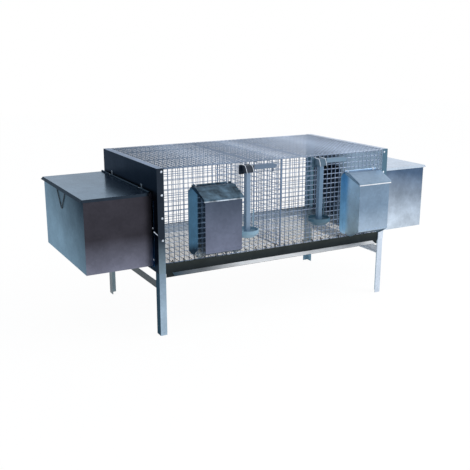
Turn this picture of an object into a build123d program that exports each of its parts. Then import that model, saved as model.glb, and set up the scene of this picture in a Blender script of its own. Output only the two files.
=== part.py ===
from build123d import *
import os

os.makedirs("parts", exist_ok=True)

# Two-place breeding cage of galvanised sheet and welded wire. Millimetres.
# X runs along the front, Y from the front to the back, Z up from the floor.

# Cage body
cage_width = 1000
cage_depth = 538
cage_height = 604
body_bottom = 232
floor_level = 264
sheet = 1.2
cut_past = 1
wall_rim = 25

# Legs and rails
leg_front_face = 25
leg_side_face = 32
leg_wall = 2.5
cross_rail_bottom = 170
cross_rail_height = 26
cross_rail_ledge = 18
rail_bottom = 228
rail_ledge = 14
rail_lip = 20
rail_lip_fall = 7
rail_lip_end_gap = 52
rail_tab_width = 38
rail_tab_drop = 14

# Welded wire panels. One wire in four is drawn, as a square bar.
wire = 2.5
wire_pitch = 19.05
wires_per_bar = 4
panel_edge = 4
wire_sides = 8
roof_seam_from_middle = 110
roof_bar_diameter = 6

# Nest boxes
nest_width = 244
nest_from_front = 50
nest_depth = 486
nest_bottom = 250
nest_wall_height_inner = 262
nest_wall_height_outer = 261
nest_rim = 12
nest_lid_overlap = 3
lid_rest_gap = 0.3
nest_lid_skirt = 9
nest_lid_lip = 8
latch_wire = 3
latch_gap = 0.3
latch_from_middle = 12
latch_spread = 58
latch_drop = 80
hinge_rod_diameter = 4
hinge_play = 0.3
curl_sides = 8
hinge_from_wall = 9
hinge_clip_length = 14
hinge_clip_from_middle = 153
hinge_clip_gap = 1.5

# Doorway from each place into its nest box
doorway_width = 180
doorway_height = 170
doorway_sill = 54
doorway_corner = 25
doorway_from_front = 390

# Hopper feeders, hung on the front
feeder_middles = {"left": -293, "right": 366}
feeder_drops = {"left": 0, "right": 5}
feeder_width = 143
feeder_depth = 97
feeder_bottom = 281
feeder_cheek_radius = 36
feeder_toe_run = 46
feeder_front_bottom = 310
feeder_floor_low = 286
feeder_floor_back = 318
feeder_back_top = 531
feeder_front_top = 501
feeder_shoulder = 32
feeder_hem = 6
feeder_plate_border = 18
feeder_plate_top = 535
feeder_plate_corner = 30
feeder_mouth_height = 78
feeder_mouth_sill = 44
feeder_mouth_side = 12
feeder_throat = 42
feeder_lid_overhang = 5.5
feeder_lid_front_gap = 2
feeder_lid_skirt = 7
feeder_lid_hem = 9
feeder_rod_diameter = 3
feeder_lug_width = 5
feeder_lug_from_middle = 62
feeder_lug_gap = 1

# Drinkers, standing just in front of the wire
drinker_middles = {"left": -156.5, "right": 161.5}
cup_rims = {"left": 357, "right": 365}
pipe_width = 18
pipe_depth = 20
pipe_corner = 2
pipe_wall = 1.5
pipe_from_wire = 20
pipe_top = 566
head_left_reach = 16
head_right_reach = 22
head_height = 25
head_depth = 28
head_corner = 4
head_clip_height = 34
head_clip_width = 46
arm_reach = 118
arm_bottom = 574
arm_height = 16
arm_depth = 13
arm_end_flat = 2
arm_end_drop = 14
arm_end_pin = 4
cup_radius = 43
cup_height = 27
cup_bevel = 14
cup_wall = 2
cup_sides = 24
cup_wire_gap = 0.3
cup_headroom = 30
cup_strap_width = 4
cup_strap_lap = 6
cup_strap_height = 66

# Worked-out places. The origin is under the middle of the whole outline.
wire_inset = sheet + leg_wall + sheet
feeder_reach = feeder_depth + sheet + feeder_lid_front_gap + sheet - wire_inset
rail_reach = rail_lip - sheet - leg_wall
front = (feeder_reach - rail_reach - cage_depth) / 2
back = front + cage_depth
across_middle = Plane(origin=(0, (front + back) / 2, 0), z_dir=(0, 1, 0))
half_width = cage_width / 2
wire_front = front + wire_inset
wire_back = back - wire_inset
roof_under = cage_height - sheet - wire
leg_top = roof_under
bar_pitch = wire_pitch * wires_per_bar
nest_lid_slope = (nest_wall_height_inner - nest_wall_height_outer) / nest_width
feeder_seat = wire_front
feeder_knuckle = feeder_rod_diameter / 2 + hinge_play + sheet
feeder_hinge_axis = (
    feeder_seat - sheet - feeder_lug_gap - feeder_knuckle,
    feeder_back_top + lid_rest_gap + feeder_knuckle,
)
pipe_y = wire_front - pipe_from_wire


def block(x0, x1, y0, y1, z0, z1):
    """A straight-sided solid between two corners."""
    size = Box(x1 - x0, y1 - y0, z1 - z0, align=(Align.MIN, Align.MIN, Align.MIN))
    return Pos(x0, y0, z0) * size


def mirrored(shape):
    """The same piece on the other end of the cage."""
    return mirror(shape, about=Plane.YZ)


def save(shape, node):
    """Write one piece under its own name."""
    export_step(Compound(children=shape.solids()), "parts/" + node + ".step")


def folded_sheet(plane, corners, length, up):
    """Sheet of even thickness folded along a line of corners and run out at right angles to it."""
    side = Side.RIGHT if up else Side.LEFT
    line = Polyline(*corners)
    outline = offset(line, amount=sheet, side=side, kind=Kind.INTERSECTION, closed=True)
    along = (0, 1, 0) if plane == Plane.XZ else (1, 0, 0)
    return extrude(plane * make_face(outline), length, dir=along)


def bent_wire(plane, corners, diameter):
    """Eight-sided wire with straight runs between rounded corners."""
    path = plane * FilletPolyline(*corners, radius=2 * diameter)
    section = Plane(origin=path @ 0, z_dir=path % 0) * RegularPolygon(diameter / 2, wire_sides)
    return sweep(section, path=path)


def curl(radius, length):
    """Bar along Z for sheet rolled round a rod, twice the radius wide across its flats."""
    outline = RegularPolygon(radius, curl_sides, major_radius=False, rotation=180 / curl_sides)
    return extrude(outline, length / 2, both=True)


def grid_face(width, height, first_x=0.0, first_y=0.0):
    """Flat wire grid: an outer edge and evenly spaced bars, drawn from its lower left corner."""
    plate = Pos(width / 2, height / 2) * Rectangle(width, height)
    clear_w = width - 2 * panel_edge
    clear_h = height - 2 * panel_edge
    columns = max(1, round(clear_w / bar_pitch))
    rows = max(1, round(clear_h / bar_pitch))
    cell_w = (clear_w - (columns - 1) * wire) / columns
    cell_h = (clear_h - (rows - 1) * wire) / rows
    cells = GridLocations(cell_w + wire, cell_h + wire, columns, rows)
    holes = [Pos(width / 2, height / 2) * place * Rectangle(cell_w, cell_h) for place in cells]
    return plate - holes


def upright_panel(x0, x1, y, z0, z1):
    """Wire panel in a plane across the cage, its front face at y."""
    face = grid_face(x1 - x0, z1 - z0)
    plane = Plane(origin=(x0, y + wire, z0), x_dir=(1, 0, 0), z_dir=(0, -1, 0))
    return extrude(plane * face, wire)


def flat_panel(x0, x1, y0, y1, z):
    """Level wire panel with its underside at z."""
    face = grid_face(x1 - x0, y1 - y0)
    return extrude(Pos(x0, y0, z) * face, wire)


def end_wall():
    """Left end wall: a shallow pan with its rims turned inwards and the nest doorway cut through."""
    height = cage_height - body_bottom
    slab = block(-half_width, -half_width + wall_rim, front, back, body_bottom, cage_height)
    inner_face = slab.faces().sort_by(Axis.X)[-1]
    pan = offset(slab, amount=-sheet, openings=inner_face)
    sill = floor_level + doorway_sill
    hole = RectangleRounded(doorway_width, doorway_height, doorway_corner)
    middle = (-half_width, front + doorway_from_front, sill + doorway_height / 2)
    cutter = extrude(Plane(origin=middle, x_dir=(0, 1, 0), z_dir=(1, 0, 0)) * hole, wall_rim, both=True)
    pan -= cutter
    for notch_y in (front, back - leg_side_face - sheet):
        pan -= block(
            -half_width + sheet, -half_width + wall_rim + cut_past,
            max(notch_y, front + sheet), min(notch_y + leg_side_face + sheet, back - sheet),
            body_bottom - cut_past, body_bottom + sheet,
        )
    return pan


def leg(side, at_back):
    """Angle leg that stands inside the corner of the end wall and carries the cage."""
    x_outer = half_width - sheet
    y_outer = front + sheet
    shape = block(-x_outer, -x_outer + leg_front_face, y_outer, y_outer + leg_wall, 0, leg_top)
    shape += block(-x_outer, -x_outer + leg_wall, y_outer, y_outer + leg_side_face, 0, leg_top)
    if at_back:
        shape = mirror(shape, about=across_middle)
    return shape if side == "left" else mirrored(shape)


def cross_rail():
    """Low angle that ties the two left legs together."""
    x_outer = -half_width + sheet + leg_wall
    y0 = front + sheet + leg_wall
    y1 = back - sheet - leg_wall
    top = cross_rail_bottom + cross_rail_height
    web = block(x_outer, x_outer + leg_wall, y0, y1, cross_rail_bottom, top)
    ledge = block(x_outer, x_outer + cross_rail_ledge, y0, y1, cross_rail_bottom, cross_rail_bottom + leg_wall)
    return web + ledge


def bottom_rail():
    """Front bottom rail: a web between the legs, a ledge under the floor wire and a lip turned forwards."""
    end = half_width - sheet - leg_wall
    web_front = front + sheet + leg_wall
    web_back = web_front + sheet
    rail = block(-end, end, web_front, web_back, rail_bottom, floor_level)
    rail += block(-end, end, web_front, web_back + rail_ledge, floor_level - sheet, floor_level)
    lip_end = half_width - rail_lip_end_gap
    lip_root = rail_bottom + sheet
    lip_line = [(web_front, lip_root), (web_front - rail_lip, lip_root - rail_lip_fall)]
    rail += Pos(-lip_end, 0, 0) * folded_sheet(Plane.YZ, lip_line, 2 * lip_end, up=False)
    for direction in (-1, 1):
        inner = direction * (end - leg_front_face)
        outer = inner - direction * rail_tab_width
        low, high = sorted((inner, outer))
        rail += block(low, high, web_front, web_back, rail_bottom - rail_tab_drop, rail_bottom + sheet)
    return rail


def nest_profile():
    """Side outline of a nest box, drawn on the XZ plane for the left end."""
    x_wall = -half_width
    x_outer = x_wall - nest_width
    inner_top = nest_bottom + nest_wall_height_inner
    outer_top = nest_bottom + nest_wall_height_outer
    corners = [(x_wall, nest_bottom), (x_outer, nest_bottom), (x_outer, outer_top), (x_wall, inner_top)]
    return make_face(Plane.XZ * Polyline(*corners, close=True))


def nest_box():
    """Left nest box: an open-topped sheet box with a rim round its cage side."""
    y0 = front + nest_from_front
    solid = extrude(Pos(0, y0, 0) * nest_profile(), nest_depth, dir=(0, 1, 0))
    lid_side = solid.faces().sort_by(Axis.Z)[-1]
    tub = offset(solid, amount=-sheet, openings=lid_side)
    tub -= block(
        -half_width - 2 * sheet, -half_width + cut_past,
        y0 + nest_rim, y0 + nest_depth - nest_rim,
        nest_bottom + nest_rim, cage_height,
    )
    return tub


def hinge_axis():
    """Place of the left nest lid's hinge line, as x and z."""
    x = -half_width - hinge_from_wall
    rim = nest_bottom + nest_wall_height_inner - nest_lid_slope * hinge_from_wall
    knuckle = hinge_rod_diameter / 2 + hinge_play + sheet
    return x, rim + lid_rest_gap + knuckle


def nest_hinge():
    """Rod on two clips that stand out from the wall, for the nest lid to swing on."""
    x, z = hinge_axis()
    middle = front + nest_from_front + nest_depth / 2
    length = nest_depth - 2 * nest_rim
    rod = Pos(x, middle, z) * Rot(90, 0, 0) * Cylinder(hinge_rod_diameter / 2, length)
    for direction in (-1, 1):
        y = middle + direction * hinge_clip_from_middle
        strap = block(
            x - sheet, -half_width,
            y - hinge_clip_length / 2, y + hinge_clip_length / 2,
            z - sheet / 2, z + sheet / 2,
        )
        foot = block(
            -half_width - sheet, -half_width,
            y - hinge_clip_length / 2, y + hinge_clip_length / 2,
            z, z + hinge_clip_length,
        )
        rod += strap + foot
    return rod


def nest_lid():
    """Lid with a curled hinge edge, short skirts front and back and a flared drip lip."""
    x_hinge, z_hinge = hinge_axis()
    knuckle = hinge_rod_diameter / 2 + hinge_play + sheet
    x_outer = -half_width - nest_width - nest_lid_overlap
    y0 = front + nest_from_front - nest_lid_overlap
    length = nest_depth + 2 * nest_lid_overlap
    under = z_hinge - knuckle
    drop = nest_lid_slope * (x_hinge - x_outer)
    sheet_line = [
        (x_hinge, under),
        (x_outer, under - drop),
        (x_outer - nest_lid_lip, under - drop - nest_lid_lip),
    ]
    lid = Pos(0, y0, 0) * folded_sheet(Plane.XZ, sheet_line, length, up=True)
    skirt_line = [
        (x_hinge - knuckle, under + nest_lid_slope * -knuckle),
        (x_outer, under - drop),
        (x_outer, under - drop - nest_lid_skirt),
        (x_hinge - knuckle, under - nest_lid_skirt),
    ]
    skirt = extrude(make_face(Plane.XZ * Polyline(*skirt_line, close=True)), sheet, dir=(0, 1, 0))
    lid += Pos(0, y0, 0) * skirt
    lid += Pos(0, y0 + length - sheet, 0) * skirt
    middle = Pos(x_hinge, y0 + length / 2, z_hinge) * Rot(90, 0, 0)
    lid += middle * curl(knuckle, length)
    lid -= middle * curl(knuckle - sheet, length + cut_past)
    for direction in (-1, 1):
        y = y0 + length / 2 + direction * hinge_clip_from_middle
        reach = hinge_clip_length / 2 + hinge_clip_gap
        lid -= block(
            x_hinge - knuckle - hinge_clip_gap, -half_width,
            y - reach, y + reach,
            under - sheet, z_hinge + knuckle + sheet,
        )
    return lid


def nest_latch():
    """Bent wire that hangs from the nest lid's outer edge and holds it down."""
    x = -half_width - nest_width - latch_wire / 2 - latch_gap
    middle = front + nest_from_front + nest_depth / 2 + latch_from_middle
    x_hinge, z_hinge = hinge_axis()
    knuckle = hinge_rod_diameter / 2 + hinge_play + sheet
    top = z_hinge - knuckle - nest_lid_slope * (x_hinge - x) - latch_wire / 2
    low = top - latch_drop
    corners = [(middle - latch_spread, top), (middle, low), (middle + latch_spread, top)]
    return Pos(x, 0, 0) * bent_wire(Plane.YZ, corners, latch_wire)


def feeder_hopper(middle):
    """Feeder body: a front plate folded back into the trough's floor, between two side cheeks."""
    y_back = feeder_seat - sheet
    y_front = y_back - feeder_depth
    outline = Polyline(
        (y_back, feeder_bottom),
        (y_front + feeder_toe_run, feeder_bottom),
        (y_front, feeder_front_bottom),
        (y_front, feeder_front_top),
        (y_back - feeder_shoulder, feeder_back_top),
        (y_back, feeder_back_top),
        close=True,
    )
    cheek_face = make_face(outline)
    cheek_face = fillet(cheek_face.vertices().group_by(Axis.Y)[0], feeder_cheek_radius)
    cheek = extrude(Plane.YZ * cheek_face, sheet, dir=(1, 0, 0))
    front_line = [
        (y_front, feeder_front_top),
        (y_front, feeder_front_bottom),
        (y_back - feeder_cheek_radius, feeder_floor_low),
        (y_back, feeder_floor_back),
    ]
    body = folded_sheet(Plane.YZ, front_line, feeder_width, up=False)
    body += block(
        0, feeder_width, y_front - sheet, y_front + sheet / 2,
        feeder_front_bottom, feeder_front_bottom + feeder_hem,
    )
    body += cheek
    body += Pos(feeder_width - sheet, 0, 0) * cheek
    return Pos(middle - feeder_width / 2, 0, 0) * body


def feeder_plate(middle):
    """Back plate on the wire, with the feeding mouth and the throat that leads feed down to it."""
    width = feeder_width + 2 * feeder_plate_border
    height = feeder_plate_top - feeder_bottom
    centre = (middle, feeder_seat, feeder_plate_top - height / 2)
    outline = Plane(origin=centre, x_dir=(1, 0, 0), z_dir=(0, -1, 0))
    plate = extrude(outline * RectangleRounded(width, height, feeder_plate_corner), sheet)
    half_mouth = feeder_width / 2 - feeder_mouth_side
    sill = feeder_bottom + feeder_mouth_sill
    lintel = sill + feeder_mouth_height
    plate -= block(
        middle - half_mouth, middle + half_mouth,
        feeder_seat - 2 * sheet, feeder_seat + sheet, sill, lintel,
    )
    slope_line = [
        (feeder_seat, lintel + 2 * sheet),
        (feeder_seat - feeder_throat, lintel + 2 * sheet - feeder_throat),
    ]
    throat = folded_sheet(Plane.YZ, slope_line, 2 * half_mouth, up=True)
    return plate + Pos(middle - half_mouth, 0, 0) * throat


def feeder_hinge(middle):
    """Rod between two lugs on the back plate, for the feeder lid to swing on."""
    y, z = feeder_hinge_axis
    half = feeder_lug_width / 2
    rod = Pos(middle, y, z) * Rot(0, 90, 0) * Cylinder(feeder_rod_diameter / 2, feeder_width)
    for direction in (-1, 1):
        x = middle + direction * feeder_lug_from_middle
        radius = feeder_rod_diameter / 2 + sheet
        rod += block(x - half, x + half, y - radius, feeder_seat - sheet, z - radius, z + radius)
    return rod


def feeder_lid(middle):
    """Sloping lid with a curled back edge, side skirts and a folded front hem."""
    y_hinge, z_hinge = feeder_hinge_axis
    knuckle = feeder_knuckle
    y_front = feeder_seat - sheet - feeder_depth - feeder_lid_front_gap
    y_shoulder = feeder_seat - sheet - feeder_shoulder
    width = feeder_width + 2 * feeder_lid_overhang
    under_back = feeder_back_top + lid_rest_gap
    fall = (feeder_back_top - feeder_front_top) / (feeder_depth - feeder_shoulder)
    under_front = under_back - fall * (y_shoulder - y_front)
    sheet_line = [
        (y_hinge, under_back),
        (y_shoulder, under_back),
        (y_front, under_front),
        (y_front, under_front - feeder_lid_hem),
    ]
    lid = folded_sheet(Plane.YZ, sheet_line, width, up=True)
    skirt_line = [
        (y_hinge - knuckle, under_back),
        (y_shoulder, under_back),
        (y_front, under_front),
        (y_front, under_front - feeder_lid_skirt),
        (y_hinge - knuckle, under_back - feeder_lid_skirt),
    ]
    skirt = extrude(make_face(Plane.YZ * Polyline(*skirt_line, close=True)), sheet, dir=(1, 0, 0))
    lid += skirt
    lid += Pos(width - sheet, 0, 0) * skirt
    across = Pos(width / 2, y_hinge, z_hinge) * Rot(0, 90, 0)
    lid += across * curl(knuckle, width)
    lid -= across * curl(knuckle - sheet, width + cut_past)
    for direction in (-1, 1):
        x = width / 2 + direction * feeder_lug_from_middle
        reach = feeder_lug_width / 2 + feeder_lug_gap
        lid -= block(
            x - reach, x + reach,
            y_hinge - knuckle - feeder_lug_gap, feeder_seat,
            under_back - sheet, z_hinge + knuckle + sheet,
        )
    return Pos(middle - width / 2, 0, 0) * lid


def drinker_pipe(middle, rim):
    """Upright square water tube, from the cup's floor up to the valve head."""
    foot = rim - cup_height + cup_wall
    ring = RectangleRounded(pipe_width, pipe_depth, pipe_corner)
    ring -= Rectangle(pipe_width - 2 * pipe_wall, pipe_depth - 2 * pipe_wall)
    tube = extrude(ring, pipe_top - foot)
    outlet = Pos(0, -pipe_depth / 2, 0) * Box(pipe_width / 2, pipe_depth, pipe_width)
    return Pos(middle, pipe_y, foot) * (tube - outlet)


def drinker_head(middle):
    """Moulded valve head on top of the tube, with the clip plate that hangs it on the wire."""
    x0 = middle - head_left_reach
    x1 = middle + head_right_reach
    y0 = pipe_y - head_depth / 2
    head = block(x0, x1, y0, y0 + head_depth, pipe_top, pipe_top + head_height)
    head = fillet(head.edges().filter_by(Axis.Z), head_corner)
    plate_bottom = pipe_top + head_height - head_clip_height
    plate = block(
        x1 - head_clip_width, x1,
        wire_front - sheet, wire_front, plate_bottom, plate_bottom + head_clip_height,
    )
    stem = block(
        middle - pipe_width / 2, middle + pipe_width / 2,
        y0 + head_depth / 2, wire_front, pipe_top + head_corner, pipe_top + head_height - head_corner,
    )
    return head + stem + plate


def drinker_arm(middle):
    """Flat arm that runs along the wire from the valve head, round at its end, with a short pin."""
    x0 = middle + head_right_reach
    x1 = middle + arm_reach
    top = arm_bottom + arm_height
    arm = block(x0, x1, pipe_y - arm_depth / 2, pipe_y + arm_depth / 2, arm_bottom, top)
    end = arm.faces().sort_by(Axis.X)[-1]
    arm = fillet(end.edges().filter_by(Axis.Y), (arm_height - arm_end_flat) / 2)
    pin_top = arm_bottom + arm_height / 2
    pin_length = arm_end_drop + arm_height / 2
    pin = Box(arm_end_pin, arm_end_pin, pin_length, align=(Align.MAX, Align.CENTER, Align.MAX))
    return arm + Pos(x1 - arm_height / 2, pipe_y, pin_top) * pin


def cup_body(radius, height):
    """Many-sided upright body with its bottom edge bevelled."""
    body = extrude(RegularPolygon(radius, cup_sides), height)
    return chamfer(body.faces().sort_by(Axis.Z)[0].edges(), cup_bevel)


def drinker_cup(middle, rim):
    """Open drinking cup that reaches in through the front wire, with a strap up the wire beside it."""
    bowl = cup_body(cup_radius, cup_height)
    bowl -= Pos(0, 0, cup_wall) * cup_body(cup_radius - cup_wall, cup_height)
    bowl = Pos(0, 0, rim - cup_height) * bowl
    from_axis = wire_front - pipe_y - sheet
    chord = (cup_radius ** 2 - from_axis ** 2) ** 0.5
    strap = block(
        chord - cup_strap_width, chord,
        from_axis, from_axis + sheet,
        rim - cup_strap_lap, rim + cup_strap_height,
    )
    return Pos(middle, pipe_y, 0) * (bowl + strap)


def front_panel(side):
    """Front wire of one place, cut out round the feeder's mouth and the drinking cup."""
    x_edge = half_width - sheet - leg_wall
    x0, x1 = (-x_edge, 0) if side == "left" else (0, x_edge)
    panel = upright_panel(x0, x1, wire_front, floor_level, roof_under)
    middle = feeder_middles[side]
    half_mouth = feeder_width / 2 - feeder_mouth_side
    sill = feeder_bottom + feeder_mouth_sill - feeder_drops[side]
    mouth = (middle - half_mouth, middle + half_mouth, sill, sill + feeder_mouth_height)
    rim = cup_rims[side]
    cup = drinker_middles[side]
    reach = (cup_radius ** 2 - (wire_front - pipe_y) ** 2) ** 0.5 + cup_wire_gap
    cup_gap = (cup - reach, cup + reach, rim - cup_height - cup_wire_gap, rim + cup_headroom)
    for low_x, high_x, low_z, high_z in (mouth, cup_gap):
        panel += block(
            low_x - panel_edge, high_x + panel_edge, wire_front, wire_front + wire,
            low_z - panel_edge, high_z + panel_edge,
        )
    for low_x, high_x, low_z, high_z in (mouth, cup_gap):
        panel -= block(low_x, high_x, wire_front - wire, wire_front + 2 * wire, low_z, high_z)
    return panel


def back_panel():
    """Back wire, in one piece from end to end."""
    x_edge = half_width - sheet - leg_wall
    return upright_panel(-x_edge, x_edge, wire_back - wire, floor_level, roof_under)


def floor_panel(side):
    """Floor wire of one place, resting on the ledges of the front and back rails."""
    x_edge = half_width - sheet - leg_wall
    x0, x1 = (-x_edge, 0) if side == "left" else (0, x_edge)
    return flat_panel(x0, x1, wire_front + wire, wire_back - wire, floor_level)


def roof_panel(x0, x1):
    """Roof wire, held under the top rims of the end walls."""
    return flat_panel(x0, x1, front + sheet, back - sheet, roof_under)


def roof_bar():
    """Round bar under the seam of two roof panels, from the front wire to the back wire."""
    length = wire_back - wire_front - 2 * wire
    bar = Rot(90, 0, 0) * Cylinder(roof_bar_diameter / 2, length)
    return Pos(-roof_seam_from_middle, (wire_front + wire_back) / 2, roof_under - roof_bar_diameter / 2) * bar


def partition():
    """Wire partition between the two places."""
    y0 = wire_front + wire
    y1 = wire_back - wire
    face = grid_face(y1 - y0, roof_under - floor_level - wire)
    plane = Plane(origin=(-wire / 2, y0, floor_level + wire), x_dir=(0, 1, 0), z_dir=(1, 0, 0))
    return extrude(plane * face, wire)


x_roof = half_width - sheet
place_names = ("left", "right")

save(end_wall(), "left_end_wall")
save(mirrored(end_wall()), "right_end_wall")
for side in place_names:
    save(leg(side, False), "front_" + side + "_leg")
    save(leg(side, True), "back_" + side + "_leg")
save(cross_rail(), "left_cross_rail")
save(mirrored(cross_rail()), "right_cross_rail")
save(bottom_rail(), "front_bottom_rail")
save(mirror(bottom_rail(), about=across_middle), "back_bottom_rail")

save(back_panel(), "back_wire")
save(partition(), "wire_partition")
save(roof_panel(-x_roof, -roof_seam_from_middle), "left_roof_wire")
save(roof_panel(-roof_seam_from_middle, roof_seam_from_middle), "middle_roof_wire")
save(roof_panel(roof_seam_from_middle, x_roof), "right_roof_wire")
save(roof_bar(), "left_roof_bar")
save(mirrored(roof_bar()), "right_roof_bar")

for side in place_names:
    save(front_panel(side), side + "_front_wire")
    save(floor_panel(side), side + "_floor_wire")
    hung = Pos(0, 0, -feeder_drops[side])
    save(hung * feeder_hopper(feeder_middles[side]), side + "_feeder_hopper")
    save(hung * feeder_plate(feeder_middles[side]), side + "_feeder_back_plate")
    save(hung * feeder_hinge(feeder_middles[side]), side + "_feeder_hinge")
    save(hung * feeder_lid(feeder_middles[side]), side + "_feeder_lid")
    save(drinker_pipe(drinker_middles[side], cup_rims[side]), side + "_drinker_pipe")
    save(drinker_head(drinker_middles[side]), side + "_drinker_head")
    save(drinker_arm(drinker_middles[side]), side + "_drinker_arm")
    save(drinker_cup(drinker_middles[side], cup_rims[side]), side + "_drinker_cup")

for name, shape in {
    "nest_box": nest_box(),
    "nest_hinge": nest_hinge(),
    "nest_lid": nest_lid(),
    "nest_latch": nest_latch(),
}.items():
    save(shape, "left_" + name)
    save(mirrored(shape), "right_" + name)
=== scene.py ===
import math

import bmesh
import bpy
from mathutils import Matrix, Vector


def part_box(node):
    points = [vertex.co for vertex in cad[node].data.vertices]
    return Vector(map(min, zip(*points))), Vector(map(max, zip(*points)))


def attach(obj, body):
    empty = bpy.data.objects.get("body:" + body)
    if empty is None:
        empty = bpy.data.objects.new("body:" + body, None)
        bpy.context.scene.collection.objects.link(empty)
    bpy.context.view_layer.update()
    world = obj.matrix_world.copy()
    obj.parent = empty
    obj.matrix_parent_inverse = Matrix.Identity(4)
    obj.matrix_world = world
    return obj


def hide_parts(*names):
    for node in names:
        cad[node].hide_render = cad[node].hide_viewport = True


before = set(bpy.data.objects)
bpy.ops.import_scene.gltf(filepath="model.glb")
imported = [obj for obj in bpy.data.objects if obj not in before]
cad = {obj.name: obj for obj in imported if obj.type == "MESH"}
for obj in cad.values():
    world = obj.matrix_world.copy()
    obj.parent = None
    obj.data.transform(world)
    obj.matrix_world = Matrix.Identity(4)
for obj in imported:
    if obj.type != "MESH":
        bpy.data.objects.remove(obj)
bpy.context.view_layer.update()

MM = 0.001
UP = Vector((0, 0, 1))
MESH_PITCH = 19.05 * MM  # welded mesh of the walls and roof
FLOOR_PITCHES = (25.4 * MM, 12.7 * MM)  # closer mesh of the floor: front-to-back wires, then long ones
WIRE_GAUGE = 2.5 * MM


# Colour and node helpers

def linear(code):
    """Linear colour with full alpha from an sRGB hex code."""
    parts = [int(code[i:i + 2], 16) / 255 for i in (1, 3, 5)]
    return [p / 12.92 if p <= 0.04045 else ((p + 0.055) / 1.055) ** 2.4 for p in parts] + [1.0]


def add(tree, kind, inputs=None, **settings):
    """A node with its settings; an input takes a value, or another node's socket to link."""
    node = tree.nodes.new(kind)
    for key, value in settings.items():
        setattr(node, key, value)
    for key, value in (inputs or {}).items():
        if isinstance(value, bpy.types.NodeSocket):
            tree.links.new(value, node.inputs[key])
        else:
            node.inputs[key].default_value = value
    return node


def new_material(name):
    """An empty material, its node tree and its Principled shader."""
    material = bpy.data.materials.new(name)
    material.use_nodes = True
    tree = material.node_tree
    return material, tree, tree.nodes["Principled BSDF"]


def blend_colours(tree, factor, first, second):
    """Colour mixed from first to second."""
    mixed = add(tree, "ShaderNodeMix", {0: factor, 6: first, 7: second}, data_type="RGBA")
    return mixed.outputs[2]


def ramp(tree, place, direction, start, end):
    """0 to 1 along a direction in the row frame, between two distances in metres."""
    along = add(tree, "ShaderNodeVectorMath", {0: place, 1: direction}, operation="DOT_PRODUCT")
    spread = add(tree, "ShaderNodeMapRange", {0: along.outputs["Value"], 1: start, 2: end})
    return spread.outputs[0]


def facing_share(tree, component):
    """0 to 1 as a face turns to look along the axis of this normal component."""
    size = add(tree, "ShaderNodeMath", {0: component}, operation="ABSOLUTE")
    share = add(tree, "ShaderNodeMapRange", {0: size.outputs[0], 1: 0.3, 2: 0.65})
    return share.outputs[0]


def even(code):
    """One tone the whole length of a face."""
    return (code, code, (0, 0, 1), 0.0, 1.0)


# Materials

def galvanised_sheet(
    name, side, front, top, roughness=0.36, side_roughness=0.36, cloud=0.1, cloud_size=70,
    edge="#ffffff", top_metal=1.0,
):
    """Hot-dip galvanised sheet. Zinc crystals about 9 mm wide give a faint patchwork, a slow cloud
    dulls it in places, and each way that the sheet faces gets a painted reflection, the tone it would
    mirror, with painted shade ramped along its length. The edge colour dims the sheen at a slant, and
    top_metal makes a top matt, so that its painted top tone shows as painted light."""
    material, tree, shader = new_material(name)
    coords = add(tree, "ShaderNodeTexCoord")
    place = coords.outputs["Object"]
    facing = add(tree, "ShaderNodeSeparateXYZ", {0: coords.outputs["Normal"]})
    # Painted reflection and painted shade: one tone ramp for each way that the sheet faces.
    painted_tones = []
    for near, far, direction, start, end in (side, front, top):
        factor = ramp(tree, place, direction, start, end)
        painted_tones.append(blend_colours(tree, factor, linear(near), linear(far)))
    across = facing_share(tree, facing.outputs["X"])
    along = facing_share(tree, facing.outputs["Y"])
    colour = blend_colours(tree, across, painted_tones[2], painted_tones[0])
    colour = blend_colours(tree, along, colour, painted_tones[1])
    crystals = add(tree, "ShaderNodeTexVoronoi", {"Vector": place, "Scale": 1 / (9 * MM)})
    shade = add(tree, "ShaderNodeSeparateXYZ", {0: crystals.outputs["Color"]})
    patch = add(tree, "ShaderNodeMapRange", {0: shade.outputs["X"], 3: 0.95, 4: 1.05})
    noise = add(tree, "ShaderNodeTexNoise", {"Vector": place, "Scale": 1 / (cloud_size * MM), "Detail": 4.0})
    fog = noise.outputs["Fac"]
    veil = add(tree, "ShaderNodeMapRange", {0: fog, 1: 0.3, 2: 0.7, 3: 1 - cloud, 4: 1 + cloud})
    both = add(tree, "ShaderNodeMath", {0: patch.outputs[0], 1: veil.outputs[0]}, operation="MULTIPLY")
    lit = add(tree, "ShaderNodeVectorMath", {0: colour, "Scale": both.outputs[0]}, operation="SCALE")
    tree.links.new(lit.outputs[0], shader.inputs["Base Color"])
    polish = add(tree, "ShaderNodeMapRange", {0: across, 3: roughness, 4: side_roughness})
    uneven = add(tree, "ShaderNodeMapRange", {0: shade.outputs["Y"], 3: 0.92, 4: 1.08})
    dull = add(tree, "ShaderNodeMath", {0: polish.outputs[0], 1: uneven.outputs[0]}, operation="MULTIPLY")
    tree.links.new(dull.outputs[0], shader.inputs["Roughness"])
    shader.inputs["Metallic"].default_value = 1.0
    # Matt tops, so that a painted top tone shows as painted light.
    if top_metal < 1.0:
        upwards = facing_share(tree, facing.outputs["Z"])
        metal = add(tree, "ShaderNodeMapRange", {0: upwards, 3: 1.0, 4: top_metal})
        tree.links.new(metal.outputs[0], shader.inputs["Metallic"])
    shader.inputs["Specular Tint"].default_value = linear(edge)
    return material


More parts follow.
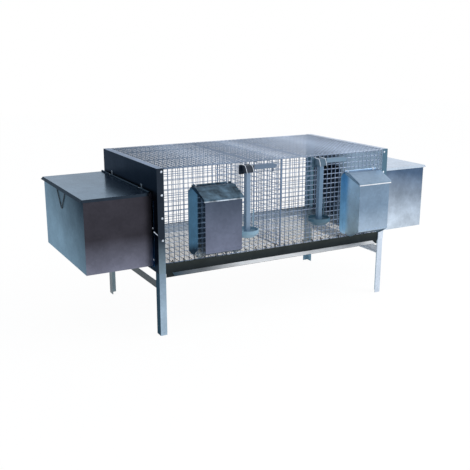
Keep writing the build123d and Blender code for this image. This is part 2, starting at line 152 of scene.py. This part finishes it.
def zinc_wire(name, left, right, soiled="#8d8678", dirt=0.0):
    """Galvanised wire, drawn and dipped. The zinc is matt and mottled along the wire, and its tone
    drifts from one end of the cage to the other. Dirt is dust and feed in spots near the front."""
    material, tree, shader = new_material(name)
    place = add(tree, "ShaderNodeTexCoord").outputs["Object"]
    drift = ramp(tree, place, (1, 0, 0), -0.5, 0.5)
    colour = blend_colours(tree, drift, linear(left), linear(right))
    blotch = add(tree, "ShaderNodeTexNoise", {"Vector": place, "Scale": 1 / (14 * MM), "Detail": 3.0})
    spots = add(tree, "ShaderNodeMapRange", {0: blotch.outputs["Fac"], 1: 0.4, 2: 0.6})
    near = ramp(tree, place, (0, -1, 0), -0.15, 0.2)
    amount = add(tree, "ShaderNodeMath", {0: spots.outputs[0], 1: near}, operation="MULTIPLY").outputs[0]
    amount = add(tree, "ShaderNodeMath", {0: amount, 1: dirt}, operation="MULTIPLY").outputs[0]
    colour = blend_colours(tree, amount, colour, linear(soiled))
    mottle = add(tree, "ShaderNodeMapRange", {0: blotch.outputs["Fac"], 1: 0.3, 2: 0.7, 3: 0.88, 4: 1.12})
    mottled = add(tree, "ShaderNodeVectorMath", {0: colour, "Scale": mottle.outputs[0]}, operation="SCALE")
    tree.links.new(mottled.outputs[0], shader.inputs["Base Color"])
    shader.inputs["Metallic"].default_value = 0.5
    shader.inputs["Roughness"].default_value = 0.45
    return material


def moulded_plastic(name, colour, roughness):
    """Moulded plastic: one even colour, its gloss slightly uneven from handling in patches of 17 mm."""
    material, tree, shader = new_material(name)
    place = add(tree, "ShaderNodeTexCoord").outputs["Object"]
    wear = add(tree, "ShaderNodeTexNoise", {"Vector": place, "Scale": 60.0, "Detail": 3.0})
    least, most = roughness - 0.08, roughness + 0.12
    gloss = add(tree, "ShaderNodeMapRange", {0: wear.outputs["Fac"], 3: least, 4: most})
    tree.links.new(gloss.outputs[0], shader.inputs["Roughness"])
    shader.inputs["Base Color"].default_value = linear(colour)
    return material


def matt_blotchy_zinc(name, colour):
    """Matt and blotchy zinc with no mirror left in it; its pale given tone is painted light."""
    material, tree, shader = new_material(name)
    place = add(tree, "ShaderNodeTexCoord").outputs["Object"]
    speckle_noise = add(tree, "ShaderNodeTexNoise", {"Vector": place, "Scale": 1 / (25 * MM), "Detail": 4.0})
    speckle_tone = add(tree, "ShaderNodeMapRange", {0: speckle_noise.outputs["Fac"], 1: 0.3, 2: 0.7, 3: 0.9, 4: 1.05})
    zinc = linear(colour)[:3]
    tone = add(tree, "ShaderNodeVectorMath", {0: zinc, "Scale": speckle_tone.outputs[0]}, operation="SCALE")
    tree.links.new(tone.outputs[0], shader.inputs["Base Color"])
    shader.inputs["Roughness"].default_value = 0.7
    return material


# End walls, hot-dipped and folded, in painted reflection and shade. The left one is turned from the light
# and painted near black, with a painted blue-grey reflection on the foot of its front rim; the right one
# is painted darkest outside the mesh, with a painted pale reflection at its edge.
left_wall_sheet = galvanised_sheet(
    "galvanised_left_wall_sheet", ("#252d37", "#2e3641", (0, 1, 0), -0.2, 0.3),
    ("#7d92a0", "#2a323d", (0, 0, 1), 0.24, 0.36), even("#9fb1ca"), edge="#b2b6bc",
)
right_wall_sheet = galvanised_sheet(
    "galvanised_right_wall_sheet", ("#2c3a4a", "#93a9bd", (0, -1, 0), -0.12, 0.0),
    ("#d9e4f2", "#557488", (0, 0, 1), 0.262, 0.268), even("#aabbd2"), side_roughness=0.2,
)
# Nest boxes and lids, hot-dipped and folded, in painted reflection and shade. The left box has a painted
# teal reflection at its end and a painted plum one on its front, under a dark painted sheen; the right box
# is silvery and cloudy, its painted reflection fading to slate at the top.
left_nest_sheet = galvanised_sheet(
    "galvanised_left_nest_sheet", ("#86a4b7", "#0c131a", (0, -0.6, 1), 0.25, 0.61),
    ("#787b8d", "#3b3a42", (0, 0, 1), 0.25, 0.37), even("#7f93a6"), cloud=0.13, edge="#b2bac4",
)
left_lid_sheet = galvanised_sheet(
    "galvanised_left_lid_sheet", even("#26313d"), even("#2b3541"),
    ("#90a6bb", "#7990a5", (1, 0, 0), -0.75, -0.5), roughness=0.2, edge="#c0c6cc",
)
right_nest_sheet = galvanised_sheet(
    "galvanised_right_nest_sheet", even("#c9d6e6"),
    ("#cbd9e8", "#4f6581", (0.2, 0, 1), 0.38, 0.62), even("#c9d3e0"), cloud=0.22,
)
right_lid_sheet = galvanised_sheet(
    "galvanised_right_lid_sheet", even("#9fb2cc"), even("#c3d2e3"), even("#bccbdd"),
)
# Feeders, folded from glossier sheet, in painted reflection: plum-grey on the left and light blue on the
# right, with painted blue reflections on the back plates. The lids' folded front edges carry a painted
# highlight as a thin bright line.
left_feeder_sheet = galvanised_sheet(
    "galvanised_left_feeder_sheet", even("#c6d4dc"), ("#767d93", "#4b5668", (0, 0, 1), 0.3, 0.5),
    even("#66859c"), side_roughness=0.13, roughness=0.34,
)
right_feeder_sheet = galvanised_sheet(
    "galvanised_right_feeder_sheet", ("#c6e0ec", "#9cc4e2", (0, 0.3, 1), 0.2, 0.5),
    ("#a9bdd2", "#7c93ab", (0, 0, 1), 0.3, 0.4), even("#93a9be"), side_roughness=0.3,
)
left_plate_sheet = galvanised_sheet(
    "galvanised_left_plate_sheet", even("#557a92"), ("#2b3a48", "#587d98", (0, 0, 1), 0.3, 0.33),
    even("#557a92"),
)
right_plate_sheet = galvanised_sheet(
    "galvanised_right_plate_sheet", even("#6f9cbd"), ("#8fb1cb", "#5c8bb0", (0, 0, 1), 0.3, 0.5),
    even("#8fb1cb"),
)
left_hopper_lid_sheet = galvanised_sheet(
    "galvanised_left_hopper_lid_sheet", even("#4a6a80"), ("#b9c6d4", "#4f6577", (0, 0, 1), 0.4945, 0.4955),
    even("#485f70"), cloud=0.6, cloud_size=22,
)
right_hopper_lid_sheet = galvanised_sheet(
    "galvanised_right_hopper_lid_sheet", even("#7f9db4"), ("#f2f6fb", "#8aa1b8", (0, 0, 1), 0.4895, 0.4905),
    even("#8da3ba"),
)
# Angle legs, the rail and the low ties, hot-dipped in thicker steel and duller than the sheet, in painted
# reflection and shade. The rail is painted near black with a painted highlight as a white lip, and the
# right cross rail and back right leg are pale, matt zinc in painted light.
# Painted reflection and shade on the legs: darker sides, paler fronts and tops.
left_leg_steel = galvanised_sheet(
    "galvanised_left_leg_steel", even("#3d515f"), ("#a3bacd", "#7d93a6", (0, 0, 1), 0.08, 0.25),
    even("#90a6bd"), roughness=0.45, side_roughness=0.45, edge="#a4acb4",
)
back_leg_steel = galvanised_sheet(
    "galvanised_back_leg_steel", even("#4f5f68"), even("#6d7e86"), even("#90a6bd"), roughness=0.45,
)
right_leg_steel = galvanised_sheet(
    "galvanised_right_leg_steel", even("#a7bccb"), even("#cfdbea"), even("#c9d6e4"),
    roughness=0.45, side_roughness=0.45, top_metal=0.2,
)
# Painted shade on the near-black web, and a painted highlight along the lip, made matt so that it shows
# white.
rail_steel = galvanised_sheet(
    "galvanised_rail_steel", even("#262c2e"), ("#2b3134", "#353b3b", (0, 0, 1), 0.24, 0.262),
    ("#4f6676", "#fbfcfd", (1, 0, 0), -0.44, -0.2), roughness=0.45, side_roughness=0.45, top_metal=0.0,
)
# Painted shade on the sides of the ties, painted light on their tops.
tie_steel = galvanised_sheet(
    "galvanised_tie_steel", even("#39454c"), even("#39454c"), even("#8496a5"),
    roughness=0.45, side_roughness=0.45,
)
# Painted light on matt zinc: near white on the right cross rail, a painted teal reflection on the back right
# leg.
light_painted_tie_zinc = matt_blotchy_zinc("matt_tie_zinc_painted_light", "#e8eef4")
reflection_painted_leg_zinc = matt_blotchy_zinc("matt_leg_zinc_painted_reflection", "#86aec2")

# The nest boxes' narrow flanges, in painted reflection and shade: a deep blue strip beside the dark wall,
# black higher up.
flange_sheet = galvanised_sheet(
    "galvanised_flange_sheet", ("#4f7090", "#20272f", (0, 0, 1), 0.26, 0.38), even("#4f7090"),
    even("#7f93a6"), edge="#3a434f",
)

# Drawn and dipped wire: grey-blue uprights in painted dark reflection, cross wires paler with painted
# light from above, a floor browned by feed and dust, and bent pieces from a painted highlight, through
# painted shade, to dark wire.
upright_wire = zinc_wire("galvanised_upright_wire_painted_reflection", "#748aa6", "#7d93af")
cross_wire = zinc_wire("galvanised_cross_wire_painted_light", "#94a8c3", "#c0cee4")
roof_wire = zinc_wire("galvanised_roof_wire", "#6f839c", "#bac8dc")
floor_wire = zinc_wire("soiled_floor_wire", "#97a0a9", "#8fa0ad", soiled="#a08d6c", dirt=0.9)
# The same bent zinc as a painted highlight and in painted shade.
highlight_wire = zinc_wire("bright_bent_wire", "#d3dce8", "#e3ebf5")
shaded_wire = zinc_wire("bent_wire_painted_shade", "#5d6b78", "#5d6b78")
dark_wire = zinc_wire("dark_bent_wire", "#333d48", "#333d48")
ring_wire = zinc_wire("dark_ring_wire", "#3b464d", "#2b353c")

# Drinkers: moulded heads, arms and cups and extruded pipes, smooth enough for a soft highlight. The two
# drinkers are alike, and their tones differ by painted light and shade: the left head dark, the right
# head and arm paler with painted reflection, the left cup and pipe paler and the right ones darker.
left_head_plastic = moulded_plastic("moulded_dark_blue_plastic", "#1b2838", 0.35)
left_arm_plastic = moulded_plastic("moulded_blue_grey_arm", "#61758c", 0.3)
right_head_plastic = moulded_plastic("moulded_blue_grey_plastic", "#4d687c", 0.3)
right_arm_plastic = moulded_plastic("moulded_pale_blue_grey_arm", "#6f8aa0", 0.3)
left_cup_plastic = moulded_plastic("moulded_pale_blue_cup", "#86a8bc", 0.3)
right_cup_plastic = moulded_plastic("moulded_dark_blue_cup", "#44677a", 0.3)
left_pipe_plastic = moulded_plastic("extruded_grey_pipe", "#7d94ac", 0.25)
right_pipe_plastic = moulded_plastic("extruded_blue_grey_pipe", "#62809a", 0.25)

# Each CAD piece's material: by its own name, or by the end of its name, one for both sides or the
# left one's and the right one's.
by_node = {
    "left_end_wall": left_wall_sheet,
    "right_end_wall": right_wall_sheet,
    "left_nest_box": left_nest_sheet,
    "left_nest_lid": left_lid_sheet,
    "right_nest_box": right_nest_sheet,
    "right_nest_lid": right_lid_sheet,
    "front_left_leg": left_leg_steel,
    "back_left_leg": back_leg_steel,
    "front_right_leg": right_leg_steel,
    "back_right_leg": reflection_painted_leg_zinc,
    "front_bottom_rail": rail_steel,
    "back_bottom_rail": right_leg_steel,
    "left_cross_rail": tie_steel,
    "right_cross_rail": light_painted_tie_zinc,
}
by_ending = [
    # The left nest hinge in painted shade, the right one in painted highlight.
    ("_nest_hinge", shaded_wire, highlight_wire),
    ("_nest_latch", dark_wire),
    ("_roof_bar", roof_wire),
    ("_wire", upright_wire),
    ("_partition", upright_wire),
    ("_feeder_hopper", left_feeder_sheet, right_feeder_sheet),
    ("_feeder_back_plate", left_plate_sheet, right_plate_sheet),
    ("_feeder_lid", left_hopper_lid_sheet, right_hopper_lid_sheet),
    # The feeder hinges in painted highlight.
    ("_feeder_hinge", highlight_wire),
    ("_drinker_pipe", left_pipe_plastic, right_pipe_plastic),
    ("_drinker_head", left_head_plastic, right_head_plastic),
    ("_drinker_arm", left_arm_plastic, right_arm_plastic),
    ("_drinker_cup", left_cup_plastic, right_cup_plastic),
]
for name, piece in cad.items():
    material = by_node.get(name)
    for ending, *choices in by_ending:
        if name.endswith(ending):
            material = choices[-1 if name.startswith("right") else 0]
    piece.data.materials.clear()
    piece.data.materials.append(material)


# Shape helpers

def piece_from(bm, name, materials, body="cage", smooth=True):
    """An object at the origin from a bmesh, riding on a body."""
    bmesh.ops.recalc_face_normals(bm, faces=bm.faces)
    mesh = bpy.data.meshes.new(name)
    bm.to_mesh(mesh)
    bm.free()
    for polygon in mesh.polygons:
        polygon.use_smooth = smooth
    for material in materials:
        mesh.materials.append(material)
    item = bpy.data.objects.new(name, mesh)
    bpy.context.scene.collection.objects.link(item)
    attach(item, body)
    return item


def paint(made, slot):
    """Give the faces of a new shape one of its piece's materials, by slot number."""
    for vert in made["verts"]:
        for face in vert.link_faces:
            face.material_index = slot


def rod(bm, start, end, radius, sides=6, slot=0):
    """Round bar between two points."""
    start, end = Vector(start), Vector(end)
    run = end - start
    turn = run.to_track_quat("Z", "Y").to_matrix().to_4x4()
    place = Matrix.Translation((start + end) / 2) @ turn
    made = bmesh.ops.create_cone(
        bm, cap_ends=True, segments=sides, radius1=radius, radius2=radius, depth=run.length, matrix=place,
    )
    paint(made, slot)


def bent_rod(bm, points, radius, sides=8):
    """Round bar through a line of points, with a ball at each bend."""
    for start, end in zip(points, points[1:]):
        rod(bm, start, end, radius, sides)
    for point in points:
        place = Matrix.Translation(Vector(point))
        bmesh.ops.create_icosphere(bm, subdivisions=1, radius=radius, matrix=place)


def ring(bm, centre, axis, radius, thickness, steps=10, sides=6):
    """Closed ring of round wire about an axis."""
    axis = Vector(axis)
    turn = axis.to_track_quat("Z", "Y").to_matrix().to_4x4()
    place = Matrix.Translation(Vector(centre)) @ turn
    circle = bmesh.ops.create_circle(
        bm, segments=sides, radius=thickness / 2,
        matrix=place @ Matrix.Translation((radius, 0, 0)) @ Matrix.Rotation(math.pi / 2, 4, "X"),
    )
    edges = list({edge for vert in circle["verts"] for edge in vert.link_edges})
    bmesh.ops.spin(
        bm, geom=circle["verts"] + edges, cent=Vector(centre), axis=axis, angle=2 * math.pi,
        steps=steps, use_merge=True,
    )


def clear_runs(start, end, gaps):
    """The stretches of a line from start to end that lie outside the gaps."""
    runs = []
    for low, high in sorted(gaps):
        if low > start:
            runs.append((start, low))
        start = max(start, high)
    if start < end:
        runs.append((start, end))
    return runs


def wire_places(low, high, pitch=MESH_PITCH):
    """Where the wires of one direction stand, edge to edge at close to the pitch."""
    span = high - low - WIRE_GAUGE
    count = max(1, round(span / pitch))
    return [low + WIRE_GAUGE / 2 + span * index / count for index in range(count + 1)]


def wire_panel(node, flat, materials, holes=(), outer_first=True, pitches=(MESH_PITCH, MESH_PITCH)):
    """Welded wire panel at its true pitch, standing for a plain CAD panel. flat is the axis it is thin
    along; holes are (low, high) corners in its own two axes that the wires stop at. The first material
    and the first pitch are those of the wires that run along the second axis."""
    low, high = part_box(node)
    u, v = [axis for axis in range(3) if axis != flat]
    radius = WIRE_GAUGE / 2
    middle = (low[flat] + high[flat]) / 2
    layer = radius * 0.7  # the crossing wires sink into each other where they are welded
    outwards = 1 if outer_first else -1
    bm = bmesh.new()
    for axis, other, side, slot in ((v, u, -outwards, 0), (u, v, outwards, 1)):
        along, across = (0, 1) if axis == u else (1, 0)
        for place in wire_places(low[other], high[other], pitches[slot]):
            gaps = [
                (hole_low[along], hole_high[along])
                for hole_low, hole_high in holes
                if hole_low[across] < place < hole_high[across]
            ]
            start, end = Vector(), Vector()
            start[flat] = end[flat] = middle + side * layer
            start[other] = end[other] = place
            for start[axis], end[axis] in clear_runs(low[axis], high[axis], gaps):
                rod(bm, start, end, radius, slot=slot)
    item = piece_from(bm, node + "_welded", materials)
    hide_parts(node)
    return item


# Welded wire

front_wires = (upright_wire, cross_wire)
for side in ("left", "right"):
    plate_low, plate_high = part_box(side + "_feeder_back_plate")
    cup_low, cup_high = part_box(side + "_drinker_cup")
    # The wires are cut where the feeder's mouth and the drinker's cup reach through them.
    mouth = (
        (plate_low[0] + 30 * MM, plate_low[2] + 44 * MM),
        (plate_high[0] - 30 * MM, plate_low[2] + 122 * MM),
    )
    cup_gap = ((cup_low[0] + 4 * MM, cup_low[2]), (cup_high[0] - 4 * MM, cup_low[2] + 57 * MM))
    wire_panel(side + "_front_wire", 1, front_wires, (mouth, cup_gap))
    wire_panel(side + "_floor_wire", 2, (floor_wire, floor_wire), pitches=FLOOR_PITCHES)
    wire_panel(side + "_roof_wire", 2, (roof_wire, roof_wire))
wire_panel("middle_roof_wire", 2, (roof_wire, roof_wire))
wire_panel("back_wire", 1, front_wires, outer_first=False)
wire_panel("wire_partition", 0, front_wires)


# Fixings of the cage body

wall_low, wall_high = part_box("left_end_wall")
front_low, front_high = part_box("left_front_wire")
back_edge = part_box("back_wire")[1][1]
roof_low, roof_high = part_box("left_roof_wire")
wall_x = abs(wall_low[0])  # the end walls' outer faces
turned_radius = 1.1 * MM  # wire ends turned over an edge


# The bright rivets and wire ends below are drawn in the painted-highlight wire.
def wall_rim_rivets():
    """Domed rivets down the front and back rims of both end walls."""
    bm = bmesh.new()
    rivet_x = wall_x - 17 * MM
    heights = (592 * MM, 511 * MM, 430 * MM, 351 * MM)
    flattened = Matrix.Diagonal((1, 0.45, 1, 1))
    for x in (-rivet_x, rivet_x):
        for y in (wall_low[1], wall_high[1]):
            for z in heights:
                place = Matrix.Translation((x, y, z)) @ flattened
                bmesh.ops.create_uvsphere(bm, u_segments=12, v_segments=6, radius=4.2 * MM, matrix=place)
    return piece_from(bm, "wall_rim_rivets", (highlight_wire,))


def turned_over_ends():
    """Ends of the front and back wires, turned over the edge of the roof wire."""
    bm = bmesh.new()
    top = roof_high[2] - turned_radius + 0.6 * MM
    for edge_y, inwards in ((front_low[1], 1), (back_edge, -1)):
        upright_y = edge_y + inwards * turned_radius
        for x in wire_places(front_low[0], -front_low[0]):
            line = [
                (x, upright_y, front_high[2] - 6 * MM),
                (x, upright_y, top),
                (x, edge_y + inwards * 8 * MM, top),
            ]
            bent_rod(bm, line, turned_radius, 6)
    return piece_from(bm, "turned_over_wire_ends", (highlight_wire,))


def rim_wire_ends():
    """Ends of the roof wires, turned up against the inner edge of the end walls' top rims."""
    bm = bmesh.new()
    rim_x = wall_x - 26.5 * MM
    for x in (-rim_x, rim_x):
        for y in wire_places(roof_low[1] + 8 * MM, roof_high[1] - 8 * MM):
            rod(bm, (x, y, roof_high[2] - 2 * MM), (x, y, wall_high[2] - 0.2 * MM), turned_radius)
    return piece_from(bm, "rim_wire_ends", (highlight_wire,))


def floor_clips():
    """Wire rings that clip the floor and the front wire to the rail."""
    bm = bmesh.new()
    count, spacing = 22, 42.3 * MM
    y, z = front_low[1] + 1.6 * MM, front_low[2] + 5 * MM
    for index in range(count):
        x = (index - (count - 1) / 2) * spacing
        ring(bm, (x, y, z), (1, 0, 0), 4.6 * MM, 2.6 * MM)
    return piece_from(bm, "floor_clip_rings", (ring_wire,))


def drinker_clips():
    """Wire clips in painted highlight that hold each drinker's head to the front wire, bent over its front.
    """
    bm = bmesh.new()
    for side in ("left", "right"):
        low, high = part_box(side + "_drinker_head")
        front_y = low[1] - 1 * MM
        for x in (low[0] + 9 * MM, high[0] - 9 * MM):
            line = [
                (x - 5 * MM, front_low[1] - 1 * MM, high[2] + 5 * MM),
                (x - 3 * MM, front_y, high[2] + 2 * MM),
                (x + 2 * MM, front_y, high[2] - 10 * MM),
                (x + 6 * MM, front_y, low[2] + 6 * MM),
            ]
            bent_rod(bm, line, 1.2 * MM)
    return piece_from(bm, "drinker_clips", (highlight_wire,))


wall_rim_rivets()
drinker_clips()
turned_over_ends()
rim_wire_ends()
floor_clips()


# Fixings of the nest boxes and feeders

# The rivets and hooks below are drawn in the painted-highlight wire.
def nest_flanges():
    """Narrow front flanges of the nest boxes, flat on the end walls' outer faces, with two rivets each."""
    bm = bmesh.new()
    low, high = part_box("left_nest_box")
    thickness, width, length = 1.2 * MM, 14 * MM, high[2] - low[2] - 25 * MM
    y = low[1] - width / 2
    for side in (-1, 1):
        x = side * (wall_x + thickness / 2)
        size = Matrix.Diagonal((thickness, width, length, 1))
        bmesh.ops.create_cube(bm, size=1.0, matrix=Matrix.Translation((x, y, low[2] + length / 2)) @ size)
        for z in (low[2] + 24 * MM, low[2] + 139 * MM):
            dome = Matrix.Translation((side * (wall_x + thickness), y, z)) @ Matrix.Diagonal((0.5, 1, 1, 1))
            made = bmesh.ops.create_uvsphere(bm, u_segments=10, v_segments=6, radius=3 * MM, matrix=dome)
            paint(made, 1)
    return piece_from(bm, "nest_flanges", (flange_sheet, highlight_wire), smooth=False)


def side_hooks():
    """Ends of wire that stick out of the end walls beside the front legs."""
    bm = bmesh.new()
    y = wall_low[1] + 3 * MM
    reaches = ((0, 371), (6, 378), (14, 386))  # out from the wall, and height, in mm
    for side in (-1, 1):
        line = [(side * (wall_x + out * MM), y, z * MM) for out, z in reaches]
        bent_rod(bm, line, 1.5 * MM)
    return piece_from(bm, "side_hooks", (highlight_wire,))


def feeder_hooks():
    """Wire hooks at the top of each feeder's back plate, over a bar of the front wire."""
    bm = bmesh.new()
    for side in ("left", "right"):
        low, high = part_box(side + "_feeder_back_plate")
        middle = (low[0] + high[0]) / 2
        outer_y, inner_y = front_low[1] - 3.4 * MM, front_low[1] + 4.4 * MM
        top = high[2] + 3 * MM
        for x in (middle - 66 * MM, middle + 66 * MM):
            outside = [(x, outer_y, high[2] - 10 * MM), (x, outer_y, top)]
            inside = [(x, inner_y, top), (x, inner_y, high[2] - 5 * MM)]
            bent_rod(bm, outside + inside, 1.5 * MM)
    return piece_from(bm, "feeder_hooks", (highlight_wire,))


nest_flanges()
side_hooks()
feeder_hooks()


# Camera, floor and light

def photo_camera():
    """Camera at the picture's place: left of the cage, above it and a little over two metres away."""
    turn, tip, roll = math.radians(28.975), math.radians(14.965), math.radians(0.108)
    forward = Vector((math.sin(turn) * math.cos(tip), math.cos(turn) * math.cos(tip), -math.sin(tip)))
    right = forward.cross(UP).normalized()
    up = right.cross(forward)
    right, up = right * math.cos(roll) + up * math.sin(roll), up * math.cos(roll) - right * math.sin(roll)
    data = bpy.data.cameras.new("camera")
    data.sensor_width = 36.0
    data.lens = data.sensor_width * 726.98 / 470  # the focal length is 726.98 pixels of 470
    camera = bpy.data.objects.new("camera", data)
    camera.matrix_world = Matrix((
        (right.x, up.x, -forward.x, -1.4386),
        (right.y, up.y, -forward.y, -2.2402 + wall_low[1]),
        (right.z, up.z, -forward.z, 1.0200),
        (0, 0, 0, 1),
    ))
    bpy.context.scene.collection.objects.link(camera)
    bpy.context.scene.camera = camera


def seen_directly(tree):
    """1 for rays that show the background as it is: straight from the camera, mirrored or through."""
    rays = add(tree, "ShaderNodeLightPath").outputs
    shown = rays["Is Camera Ray"]
    for kind in ("Is Glossy Ray", "Is Transmission Ray"):
        shown = add(tree, "ShaderNodeMath", {0: shown, 1: rays[kind]}, operation="MAXIMUM").outputs[0]
    return shown


def studio_world():
    """Pale blue-white studio, plain white where it is seen."""
    world = bpy.data.worlds.new("studio")
    bpy.context.scene.world = world
    world.use_nodes = True
    tree = world.node_tree
    sky = tree.nodes["Background"]
    sky.inputs["Color"].default_value = linear("#f2f5fa")
    sky.inputs["Strength"].default_value = 0.85
    white = add(tree, "ShaderNodeBackground", {"Color": (1, 1, 1, 1), "Strength": 1.0})
    shown = seen_directly(tree)
    chosen = add(tree, "ShaderNodeMixShader", {0: shown, 1: sky.outputs[0], 2: white.outputs[0]})
    tree.links.new(chosen.outputs[0], tree.nodes["World Output"].inputs["Surface"])


def studio_floor():
    """Pale seamless floor, nearly shadowless as in the picture."""
    bm = bmesh.new()
    bmesh.ops.create_grid(bm, x_segments=1, y_segments=1, size=8.0)
    mesh = bpy.data.meshes.new("studio_floor")
    bm.to_mesh(mesh)
    bm.free()
    item = bpy.data.objects.new("studio_floor", mesh)
    bpy.context.scene.collection.objects.link(item)
    material, tree, shader = new_material("pale_paper_floor")
    shader.inputs["Base Color"].default_value = (0.85, 0.85, 0.85, 1)
    shader.inputs["Roughness"].default_value = 0.9
    glow = add(tree, "ShaderNodeEmission", {"Color": (1, 1, 1, 1), "Strength": 1.02})
    share = add(tree, "ShaderNodeMath", {0: seen_directly(tree), 1: 0.93}, operation="MULTIPLY")
    mixed = add(tree, "ShaderNodeMixShader", {0: share.outputs[0], 1: shader.outputs[0], 2: glow.outputs[0]})
    tree.links.new(mixed.outputs[0], tree.nodes["Material Output"].inputs["Surface"])
    mesh.materials.append(material)


def soft_panel(name, place, target, size, power):
    """Large soft light aimed at a point."""
    data = bpy.data.lights.new(name, "AREA")
    data.shape = "RECTANGLE"
    data.size, data.size_y = size
    data.energy = power
    lamp = bpy.data.objects.new(name, data)
    lamp.location = place
    lamp.rotation_euler = (Vector(target) - Vector(place)).to_track_quat("-Z", "Y").to_euler()
    bpy.context.scene.collection.objects.link(lamp)


bpy.context.scene.view_settings.view_transform = "Standard"
photo_camera()
studio_world()
studio_floor()
soft_panel("key_panel", (2.2, -1.6, 2.2), (0, 0, 0.4), (2.0, 2.0), 45)
